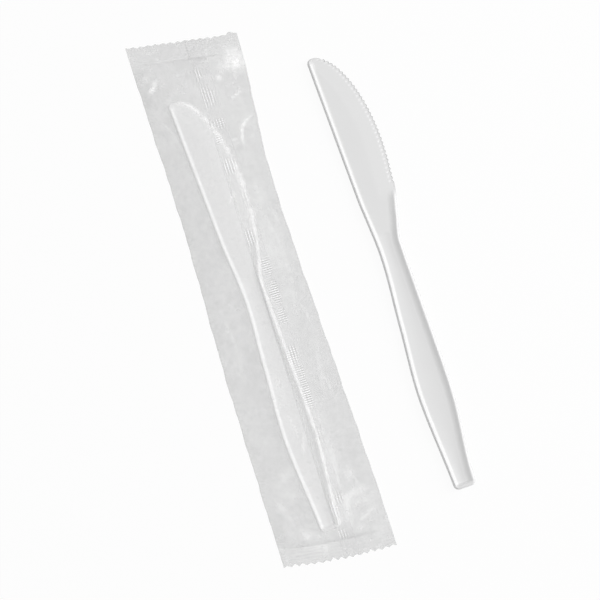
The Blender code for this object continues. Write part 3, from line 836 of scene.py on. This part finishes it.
def sleeve_sides(s):
    """Where the sleeve's left and right folds lie across at s, each slightly uneven."""
    left = -monotone(SIDE_STATIONS, LEFT_SIDE, s)
    right = monotone(SIDE_STATIONS, RIGHT_SIDE, s)
    inside = ease(s, CRIMP_LENGTH, SIDE_FADE) * ease(SLEEVE_LENGTH - s, CRIMP_LENGTH, SIDE_FADE)
    left = left + inside * waves(s, 0.0, UNEVEN_SIDES)
    right = right + inside * waves(s + SIDE_SHIFT, 0.0, UNEVEN_SIDES)
    return left, right


def sleeve_heights(s):
    """Heights of the crest and of the side folds: the crest rises from each seal as a quarter
    ellipse and clears the knife by the air there, and the folds rise more gently."""
    into_top = unit((s - CRIMP_LENGTH) / TOP_SHOULDER)
    into_bottom = unit((LOW_SEAL - s) / BOTTOM_SHOULDER)
    dome = np.sqrt((1 - (1 - into_top) ** 2) * (1 - (1 - into_bottom) ** 2))
    settled = ease(s, AIR_SETTLES, SLEEVE_LENGTH - AIR_SETTLES)
    air = AIR_AT_WAIST + settled * (AIR_AT_HANDLE - AIR_AT_WAIST)
    rise = ease(s, CRIMP_LENGTH, CRIMP_LENGTH + FOLD_RISE)
    fall = ease(s, LOW_SEAL - FOLD_RISE, LOW_SEAL)
    return dome * (CLEAR_HEIGHT + air), FOLD_HEIGHT * rise * (1 - fall)


def path_distance(s, x, path):
    """Distance of each point from a path in millimetres, and how far along it that is, 0 to 1."""
    best = np.full(np.broadcast(s, x).shape, 1e9)
    along = np.zeros_like(best)
    path = np.array(path) * MM
    spans = len(path) - 1
    for k in range(spans):
        ds, dx = path[k + 1] - path[k]
        f = ((s - path[k, 0]) * ds + (x - path[k, 1]) * dx) / (ds * ds + dx * dx)
        f = unit(f)
        far = np.hypot(s - path[k, 0] - f * ds, x - path[k, 1] - f * dx)
        nearer = far < best
        best = np.where(nearer, far, best)
        along = np.where(nearer, (k + f) / spans, along)
    return best, along


def patch(s, x, row):
    """Squared distance of each point from a patch's middle, in the patch's own half sizes. The
    row begins with the middle and the half sizes, in millimetres."""
    s0, x0, half_s, half_x = row[:4]
    return ((s - s0 * MM) / (half_s * MM)) ** 2 + ((x - x0 * MM) / (half_x * MM)) ** 2


def film_creases(s, x):
    """Height and haze that the creases and patches add to the film over the knife; the haze is
    partly real whitening and partly painted highlight. A crease is a ridge with the section of
    a Gaussian, whose ends taper off, and its haze has a flatter top. A patch fades out evenly."""
    lift = np.zeros(np.broadcast(s, x).shape)
    haze = np.zeros_like(lift)
    for high, wide, white, path in CREASES:
        far, along = path_distance(s, x, path)
        ridge = bell(far, wide * MM) * np.sin(math.pi * np.clip(along, 0.04, 0.96))
        taper = np.sin(math.pi * np.clip(along, 0.03, 0.97)) ** 0.6
        lift = lift + high * MM * ridge
        haze = np.maximum(haze, white * taper * bell(far, wide * MM, 4))
    for row in PATCHES:
        haze = np.maximum(haze, row[4] * np.exp(-patch(s, x, row)))
    return lift, haze


def near_seal(beyond, reach):
    """Share of the gathers at this distance beyond a seal: none at it, most soon after it, and
    then ever less. reach holds the lengths over which they fade and begin."""
    beyond = np.maximum(beyond, 0.0)
    return np.exp(-beyond / reach[0]) * (1 - np.exp(-beyond / reach[1]))


def film_buckles(s, x):
    """Height of the film's soft buckles, its crumples and the folds that gather at each seal."""
    near_top = near_seal(s - CRIMP_LENGTH, TOP_GATHER)
    near_bottom = near_seal(LOW_SEAL - s, BOTTOM_GATHER)
    crumpled = waves(s, x, CRUMPLES) * (CRUMPLED_BODY + near_top + near_bottom)
    gathered = near_top * waves(s, x, FOLDS) + near_bottom * waves(s, x + FOLD_SHIFT, FOLDS)
    return waves(s, x, BUCKLES) + gathered + crumpled


def film_columns(left, right):
    """Columns of the film's loop: for each its place across and its ply (0 the back, 1 the top,
    2 and 3 the fin, halves between them at a turn). Each tooth of the ends takes four columns."""
    root = FIN_ROOT + 0 * left
    left_share = np.linspace(0.0, 1.0, 4 * LEFT_TEETH + 1)
    right_share = np.linspace(0.0, 1.0, 4 * RIGHT_TEETH + 1)
    fin_share = np.linspace(0.0, 1.0, FIN_COLUMNS)
    root_gap = 6 * PLY_STEP
    left_top = left + PLY_STEP + left_share[:-1] * (root - left - PLY_STEP)
    left_top = np.concatenate((left_top, root - root_gap), axis=1)
    right_top = root + right_share * (right - PLY_STEP - root)
    stretches = (
        (left_top, 1.0),
        (root - 0.5 * root_gap, 2.5),
        (root + fin_share * FIN_WIDTH, 3.0),
        (root + FIN_WIDTH + 0.5 * PLY_STEP, 2.5),
        (root + fin_share[::-1] * FIN_WIDTH, 2.0),
        (root - 0.5 * PLY_STEP, 1.5),
        (right_top, 1.0),
        (right, 0.5),
        (np.concatenate((right_top[:, ::-1], left_top[:, -2::-1]), axis=1), 0.0),
        (left, 0.5),
    )
    x = np.concatenate([part for part, _ in stretches], axis=1)
    ply = np.concatenate([np.full(part.shape[1], number) for part, number in stretches])
    return x, ply


def film_rows(rib_count):
    """Lengths at which the film's sections lie: eight to a rib, and close on the shoulders."""
    crimp = np.linspace(0.0, CRIMP_LENGTH, 8 * rib_count + 1)
    top = 1 - np.cos(np.linspace(0.0, math.pi / 2, 26)[1:-1])
    bottom = 1 - np.cos(np.linspace(0.0, math.pi / 2, 12)[1:-1])
    return np.concatenate((
        crimp,
        CRIMP_LENGTH + top * TOP_SHOULDER,
        np.linspace(CRIMP_LENGTH + TOP_SHOULDER, LOW_SEAL - BOTTOM_SHOULDER, 190),
        LOW_SEAL - bottom[::-1] * BOTTOM_SHOULDER,
        SLEEVE_LENGTH - crimp[::-1],
    ))[:, None]


def cut_ends(rows, x, left, right, zigzag_depth):
    """Length at which each point lies once both ends are cut to a slightly uneven triangle wave,
    which draws in the whole of each seal by less the further it is from the end."""
    phase = np.where(x < FIN_ROOT, LEFT_TEETH * (x - left) / (FIN_ROOT - left),
                     LEFT_TEETH + RIGHT_TEETH * (x - FIN_ROOT) / (right - FIN_ROOT))
    depth = zigzag_depth * np.where(rows < 0.5 * SLEEVE_LENGTH, TOP_ZIGZAG, BOTTOM_ZIGZAG)
    depth = depth * (1 + waves(x, 0.0, UNEVEN_TEETH))
    teeth = ZIGZAG_INSET + depth * (1 - np.abs(1 - 2 * np.mod(phase, 1.0)))
    lobe = LOBE_LENGTH * bell(x - LOBE_PLACE, LOBE_WIDTH, 4)
    to_top = unit(1 - rows / CRIMP_LENGTH)
    to_bottom = unit(1 - (SLEEVE_LENGTH - rows) / CRIMP_LENGTH)
    return rows + (teeth - lobe) * to_top - teeth * to_bottom


def smooth_film(rows, x, ply, left, right):
    """Height of each point of smooth film, and how much of that is the dome over the knife. The
    dome falls off to each side as 1 - |f|^2.2, and the back turns up to the side folds."""
    crest, fold = sleeve_heights(rows)
    middle, half = 0.5 * (left + right), 0.5 * (right - left)
    f = unit(np.abs((x - middle) / half))
    dome = (crest - fold) * (1 - f ** CREST_POWER)
    turned_up = unit((f - FLAT_SHARE) / (1 - FLAT_SHARE))
    slope = np.gradient(crest[:, 0], rows[:, 0])
    spread = np.sqrt(1 + slope * slope)[:, None]
    steps = PLY_STEP * (unit(ply) + np.maximum(ply - 1, 0) * spread)
    lift = np.where(ply >= 1, fold + dome, np.where(ply > 0, fold, fold * turned_up ** 2))
    return FILM_THICKNESS / 2 + steps + lift, dome


def askew(s, x):
    """How far each point is moved down the sleeve, both ends being cut askew and the lower one
    to a slight bow."""
    top = 1 - ease(s, CRIMP_LENGTH, CRIMP_LENGTH + LEAN_FADE)
    low = ease(s, LOW_SEAL - LEAN_FADE, LOW_SEAL)
    return (top * TOP_SKEW + low * BOTTOM_SKEW) * x - low * BOTTOM_BOW * (x / LEFT_SIDE[3]) ** 2


def haze_share(rows, x, ply):
    """Share of its haze that the film shows: little at a turn from ply to ply, and somewhat
    less at the bends beside the seals and at the fin's root."""
    past_seal = end_distance(rows) - CRIMP_LENGTH
    beside_seal = (1 - BEND_FALL * ease(x, *BEND_FADE)) * bell(past_seal, BEND_WIDTH)
    beside_root = bell(x - ROOT_BEND_PLACE, ROOT_BEND_WIDTH)
    bend = BEND_CLEARNESS * np.maximum(beside_seal, beside_root)
    return np.where(np.mod(ply, 1.0) > 0, TURN_HAZE, 1.0) * (1 - bend)


def film_grid(film):
    """Middle surface of the film, rows by columns, with what its material reads.

    The fin lies folded to the right on the top, the wrinkles grow with the height of the dome
    over the knife, and ribs cross each seal as a raised cosine.
    """
    rows = film_rows(film.rib_count)
    left, right = sleeve_sides(rows)
    x, ply = film_columns(left, right)
    s = cut_ends(rows, x, left, right, film.zigzag_depth)
    z, dome = smooth_film(rows, x, ply, left, right)
    creases, white = film_creases(s, x)
    ripple = film_buckles(s, x) + creases
    ripple = np.where(ripple < 0, DEEPEST_DENT * np.tanh(ripple / DEEPEST_DENT), ripple)
    swell = unit(dome / FULL_SWELL)
    in_seal = np.minimum(end_distance(s), CRIMP_LENGTH)
    rib = 0.5 * (1 - np.cos(2 * math.pi * film.rib_count * in_seal / CRIMP_LENGTH))
    z = z + film.wrinkle * np.where(ply >= 1, swell * ripple, 0.0) + film.rib_height * rib
    y = 0.5 * SLEEVE_LENGTH - s - askew(s, x)
    points = np.stack((x + SLEEVE_MIDDLE[0], y + SLEEVE_MIDDLE[1], z), axis=2)

    long_lines, cross_lines = knurled_places(s, x)
    ribs_seen = np.where(rows < 0.5 * SLEEVE_LENGTH, ease(x, -RIBS_FADE, RIBS_FADE), LOW_RIBS)
    every = np.ones(x.shape)
    facts = {
        "crease_haze_and_highlight": np.where(ply >= 1, white, 0.0),
        "back": (1 - unit(ply)) * every,
        "fin": unit(2 * ply - 2) * every,
        "long_lines": np.where(ply >= 2, long_lines, 0.0),
        "cross_lines": np.where(ply >= 2, cross_lines, 0.0),
        "seal": (1 - ease(in_seal, 0.8 * CRIMP_LENGTH, CRIMP_LENGTH)) * rib * ribs_seen,
        "gather": np.exp(-np.maximum(end_distance(s) - CRIMP_LENGTH, 0.0) / GATHER_REACH),
        "rim_highlight": np.where(ply == 1, rim_highlight_lines(points), 0.0),
        "milky": monotone(MILKY_STATIONS, MILKY_SHARES, s),
        "haze_share": haze_share(rows, x, ply),
    }
    return points, facts


def knurled_places(s, x):
    """How far the knurl's long and cross lines show: most inside each of the fin's places that
    catch the light, with a quick fall at its edge."""
    long_lines = np.zeros(np.broadcast(s, x).shape)
    cross_lines = np.zeros_like(long_lines)
    for row in KNURLED:
        near = np.exp(-patch(s, x, row) ** 2)
        long_lines = np.maximum(long_lines, row[4] * near)
        cross_lines = np.maximum(cross_lines, row[5] * near)
    return long_lines, cross_lines


def end_distance(s):
    """Distance from the nearer end of the sleeve."""
    return np.minimum(s, SLEEVE_LENGTH - s)


def rim_highlight_lines(points):
    """Painted highlights where the film passes over the rims of the knife under it: a Gaussian
    about each rim's crest, strong on the cutting side and faint on the spine, broken into dots
    along the teeth, and with a wide weak halo of painted sheen beside the handle."""
    across = points[..., 0] - WRAPPED_PLACE[0]
    up = points[..., 1] - WRAPPED_PLACE[1]
    cos, sin = math.cos(WRAPPED_TURN), math.sin(WRAPPED_TURN)
    x = across * cos + up * sin
    s = 0.5 * KNIFE_LENGTH - (up * cos - across * sin)
    on_knife = ease(s, 0.0, RIM_HIGHLIGHT_FADE) * ease(KNIFE_LENGTH - s, -RIM_HIGHLIGHT_FADE, 2 * RIM_HIGHLIGHT_FADE)
    within = np.clip(s, 0.0, KNIFE_LENGTH)
    beyond = x - edge_side(within)
    toothed = 1 - ease(s, HEEL_FROM_TIP - TOOTHED_FADE, HEEL_FROM_TIP)
    wide = RIM_HIGHLIGHT_WIDTH + TOOTHED_HIGHLIGHT * toothed
    edge = bell(beyond + RIM_HIGHLIGHT_INSET - TOOTHED_HIGHLIGHT * toothed, wide)
    halo = HALO_SHARE * ease(s, HALO_START, NECK_FROM_TIP)
    halo = halo * ease(beyond, -RIM_HIGHLIGHT_FADE, RIM_HIGHLIGHT_FADE) * bell(beyond, HALO_REACH)
    spine = bell(x + spine_side(within) - RIM_HIGHLIGHT_INSET, RIM_HIGHLIGHT_WIDTH)
    dots = EVEN_DOTS + waves(s, 0.0, TOOTH_DOTS)
    edge = edge * (EVEN_HIGHLIGHT + waves(s, 0.0, UNEVEN_HIGHLIGHT)) * (1 + toothed * (dots - 1))
    return on_knife * (np.maximum(edge, halo) + SPINE_HIGHLIGHT * spine)


def number(name, description, default, least=0.0, most=1.0, **kind):
    """Property that holds a number from least to most."""
    return bpy.props.FloatProperty(
        name=name, description=description, default=default, min=least, max=most, **kind)


def length(name, description, default, least, most, precision=5):
    """Property that holds a length."""
    return number(name, description, default, least, most, precision=precision, unit="LENGTH")


def share(name, description, default, most=1.0):
    """Property that holds a share."""
    return number(name, description, default, 0.0, most, subtype="FACTOR")


class KnifeSettings(bpy.types.PropertyGroup):
    """Sizes and finish of both knives."""

    tooth_pitch: length(
        "Tooth Pitch", "Distance from one saw tooth to the next", 0.00165, 0.0008, 0.004)
    tooth_depth: length(
        "Tooth Depth", "How deep the notches between the teeth are", 0.00055, 0.0, 0.001)
    colour: bpy.props.FloatVectorProperty(
        name="Colour", description="Colour of the moulded plastic", subtype="COLOR",
        default=SLOTS["white_plastic"]["base_color"][:3], min=0.0, max=1.0)
    roughness: share("Roughness", "How matt the moulded plastic is", 0.36)


class WrapperSettings(bpy.types.PropertyGroup):
    """Sizes and finish of the film sleeve."""

    rib_count: bpy.props.IntProperty(
        name="Seal Ribs", description="Number of ribs across each end seal",
        default=6, min=2, max=12)
    rib_height: length(
        "Rib Height", "Height of the ribs across each end seal", 0.00013, 0.0, 0.0006)
    zigzag_depth: length(
        "Zigzag Depth", "Depth of the zigzag cut along both ends", 0.0008, 0.0, 0.002)
    knurl_pitch: length(
        "Knurl Pitch", "Distance between the lines pressed into the fin", 0.00082, 0.0004, 0.004)
    wrinkle: share("Wrinkles", "How strongly the film is wrinkled", 1.0, 1.5)
    haze: share("Haze", "How milky one face of smooth film is", 0.21, 0.5)
    knurl_haze: share(
        "Knurl Haze", "How strongly the fin's pressed lines show", 0.118, 0.5)
    # Painted highlight: how much whiter the film is drawn over a rim of the knife
    rim_highlight_haze: share(
        "Touch Haze", "How much milkier the film is where it lies on a rim", 0.60)
    # Partly haze and partly painted highlight in the creases
    crease_haze_and_highlight_amount: share("Crease Haze", "How much milkier a crease is", 0.45)
    # Painted shade: extra haze of the ply on the table, which with its dark tone darkens the table
    # seen through the sleeve
    back_shade_haze: share(
        "Back Haze", "How much milkier the ply that lies on the table looks", 0.055, 0.8)
    top_tone: share("Top Tone", "Brightness of the haze in the upper ply", 1.0)
    # Painted shade: the dark tone of the ply on the table
    back_shade_tone: share("Back Tone", "Brightness of the haze in the ply on the table", 0.15)
    roughness: share("Roughness", "How far the film blurs what it mirrors", 0.22)
    evenness: number(
        "Evenness", "How little the film's haze shades with its slope", 5.0, 0.0, 20.0)
    gloss: number(
        "Gloss", "Index of refraction, high as only the haze mirrors here", 2.4, 1.0, 4.0)


class StudioSettings(bpy.types.PropertyGroup):
    """Camera, lights and floor."""

    frame_width: length(
        "Frame Width", "Width of the table that the picture shows", 0.21756, 0.05, 1.0, 4)
    camera_height: length(
        "Camera Height", "How far above the table the camera stands", 1.5, 0.3, 5.0, 2)
    picture_turn: bpy.props.FloatProperty(
        name="Picture Turn", description="How far the sleeve is turned in the picture",
        default=math.radians(17.283), subtype="ANGLE")
    key_power: number(
        "Key Light", "Power of the soft light on the right", 7.6, 0.0, 100.0, unit="POWER")
    fill: number("Fill Light", "Strength of the light from above", 0.52, 0.0, 2.0)
    horizon: share("Horizon", "Share of the fill light that comes from low down", 0.35)
    floor_tone: share("Floor Tone", "Brightness of the table's own colour", 0.9)
    floor_glow: share("White Ground", "How far the table is shown as plain white", 0.93)


class OBJECT_OT_plastic_knives(bpy.types.Operator):
    """Add the knife in the sleeve and the bare knife beside it"""

    bl_idname = "object.plastic_knives"
    bl_label = "Add Plastic Knives"
    bl_options = {"REGISTER", "UNDO"}

    def execute(self, context):
        knife = context.scene.plastic_knife
        material = white_plastic_material(knife)
        places = (
            ("wrapped_knife_moulding", "wrapped_knife", WRAPPED_PLACE, WRAPPED_TURN),
            ("loose_knife_moulding", "loose_knife", LOOSE_PLACE, LOOSE_TURN),
        )
        for name, node, place, turn in places:
            piece = knife_piece(name, knife, place, turn, material)
            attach(piece, "root")
            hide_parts(node)
        return {"FINISHED"}


class OBJECT_OT_film_wrapper(bpy.types.Operator):
    """Add the clear film sleeve with its end seals and its fin"""

    bl_idname = "object.film_wrapper"
    bl_label = "Add Film Wrapper"
    bl_options = {"REGISTER", "UNDO"}

    def execute(self, context):
        film = context.scene.film_wrapper
        points, facts = film_grid(film)
        quads, _ = loop_faces(*points.shape[:2])
        vertices = points.reshape(-1, 3)
        piece = mesh_object("film_sleeve", vertices, quads, clear_film_material(film), facts)
        wall = piece.modifiers.new("film_thickness", "SOLIDIFY")
        wall.thickness = FILM_THICKNESS
        wall.offset = 0.0
        wall.use_even_offset = True
        piece.visible_shadow = False
        piece.visible_diffuse = False
        piece.visible_glossy = False
        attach(piece, "root")
        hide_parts("film_wrapper")
        return {"FINISHED"}


class OBJECT_OT_knife_studio(bpy.types.Operator):
    """Add the white table, the lights and the camera straight above"""

    bl_idname = "object.knife_studio"
    bl_label = "Add Studio"
    bl_options = {"REGISTER", "UNDO"}

    def execute(self, context):
        studio = context.scene.knife_studio
        add_table(studio)
        add_world(context.scene, studio)
        add_key_light(context.scene, studio)
        add_camera(context.scene, studio)
        context.scene.view_settings.view_transform = "Standard"
        return {"FINISHED"}


def seen_directly(shade):
    """1 for a ray from the camera, a mirror or clear plastic, and 0 for light on a surface."""
    rays = shade.add("LightPath", output="Is Camera Ray")
    node = rays.output.node
    glossy = Socket(shade, node.outputs["Is Glossy Ray"])
    through = Socket(shade, node.outputs["Is Transmission Ray"])
    return rays.at_least(glossy).at_least(through)


def add_table(studio):
    """Pale floor just under the object, shown nearly white, with only a trace of shadow."""
    shade = Shade(bpy.data.materials.new("table_top"))
    plain = shade.add("BsdfPrincipled", None, {
        "Base Color": grey(studio.floor_tone), "Roughness": TABLE_ROUGHNESS})
    glow = shade.add("Emission", None, {"Color": grey(1.0), "Strength": 1.0})
    shown = seen_directly(shade) * studio.floor_glow
    surface = shade.add("MixShader", None, {0: shown, 1: plain, 2: glow})
    signs = np.array(((-1, -1), (1, -1), (1, 1), (-1, 1)))
    vertices = np.column_stack((signs * TABLE_REACH, np.full(4, -TABLE_DROP)))
    table = mesh_object("table_top", vertices, np.array([[0, 1, 2, 3]]), shade.finish(surface))


def add_world(scene, studio):
    """World that lights softly from above, less from low down, and is seen as white.

    Its strength rises evenly with the height of the direction. At a share h low down it runs
    from h to h + 1.5 (1 - h), which lights level ground as a plain sky of strength 1 does.
    """
    shade = Shade(bpy.data.worlds.new("white_room"))
    height = shade.add("SeparateXYZ", None, {0: shade.place()})
    height = Socket(shade, height.output.node.outputs[2]).at_least(0.0)
    sky = (height * (SKY_RISE * (1 - studio.horizon)) + studio.horizon) * studio.fill
    seen = seen_directly(shade)
    strength = seen + (1.0 - seen) * sky
    light = shade.add("Background", None, {"Color": grey(1.0), "Strength": strength})
    scene.world = shade.finish(light, "OutputWorld")


def picture_axes(studio):
    """Directions on the table that point up and right in the picture."""
    up = Vector((math.sin(studio.picture_turn), math.cos(studio.picture_turn), 0.0))
    return up, Vector((up.y, -up.x, 0.0))


def add_key_light(scene, studio):
    """Soft key light on the right of the picture, aimed at the middle of the set."""
    up, right = picture_axes(studio)
    data = bpy.data.lights.new("key_light", "AREA")
    data.shape = "RECTANGLE"
    data.size, data.size_y = KEY_SIZE
    data.energy = studio.key_power
    key = bpy.data.objects.new("key_light", data)
    place = right * KEY_PLACE[0] + up * KEY_PLACE[1] + Vector((0.0, 0.0, KEY_PLACE[2]))
    key.location = place
    key.rotation_euler = (-place).to_track_quat("-Z", "Y").to_euler()
    scene.collection.objects.link(key)


def add_camera(scene, studio):
    """Camera straight above, with a long lens that takes in the frame's width."""
    up, right = picture_axes(studio)
    data = bpy.data.cameras.new("camera")
    data.sensor_width = SENSOR_WIDTH
    data.lens = data.sensor_width * studio.camera_height / studio.frame_width
    data.clip_end = FARTHEST_SEEN
    camera = bpy.data.objects.new("camera", data)
    turn = Matrix((right, up, Vector((0.0, 0.0, 1.0)))).transposed()
    camera.rotation_euler = turn.to_euler()
    camera.location = (*PICTURE_MIDDLE, studio.camera_height)
    scene.collection.objects.link(camera)
    scene.camera = camera


class VIEW3D_PT_wrapped_knife(bpy.types.Panel):
    """Sizes and colours of the wrapped knife set, with a button for each group of pieces"""

    bl_label = "Wrapped Knife"
    bl_idname = "VIEW3D_PT_wrapped_knife"
    bl_space_type = "VIEW_3D"
    bl_region_type = "UI"
    bl_category = "Wrapped Knife"

    def draw(self, context):
        groups = (
            (context.scene.plastic_knife, OBJECT_OT_plastic_knives.bl_idname),
            (context.scene.film_wrapper, OBJECT_OT_film_wrapper.bl_idname),
            (context.scene.knife_studio, OBJECT_OT_knife_studio.bl_idname),
        )
        for settings, operator in groups:
            box = self.layout.box()
            for key in settings.__annotations__:
                box.prop(settings, key)
            box.operator(operator)


CLASSES = (
    KnifeSettings,
    WrapperSettings,
    StudioSettings,
    OBJECT_OT_plastic_knives,
    OBJECT_OT_film_wrapper,
    OBJECT_OT_knife_studio,
    VIEW3D_PT_wrapped_knife,
)


def register():
    for item in CLASSES:
        bpy.utils.register_class(item)
    bpy.types.Scene.plastic_knife = bpy.props.PointerProperty(type=KnifeSettings)
    bpy.types.Scene.film_wrapper = bpy.props.PointerProperty(type=WrapperSettings)
    bpy.types.Scene.knife_studio = bpy.props.PointerProperty(type=StudioSettings)


def unregister():
    del bpy.types.Scene.knife_studio
    del bpy.types.Scene.film_wrapper
    del bpy.types.Scene.plastic_knife
    for item in reversed(CLASSES):
        bpy.utils.unregister_class(item)


def main():
    register()
    bpy.ops.object.plastic_knives()
    bpy.ops.object.film_wrapper()
    bpy.ops.object.knife_studio()


if __name__ == "__main__":
    main()
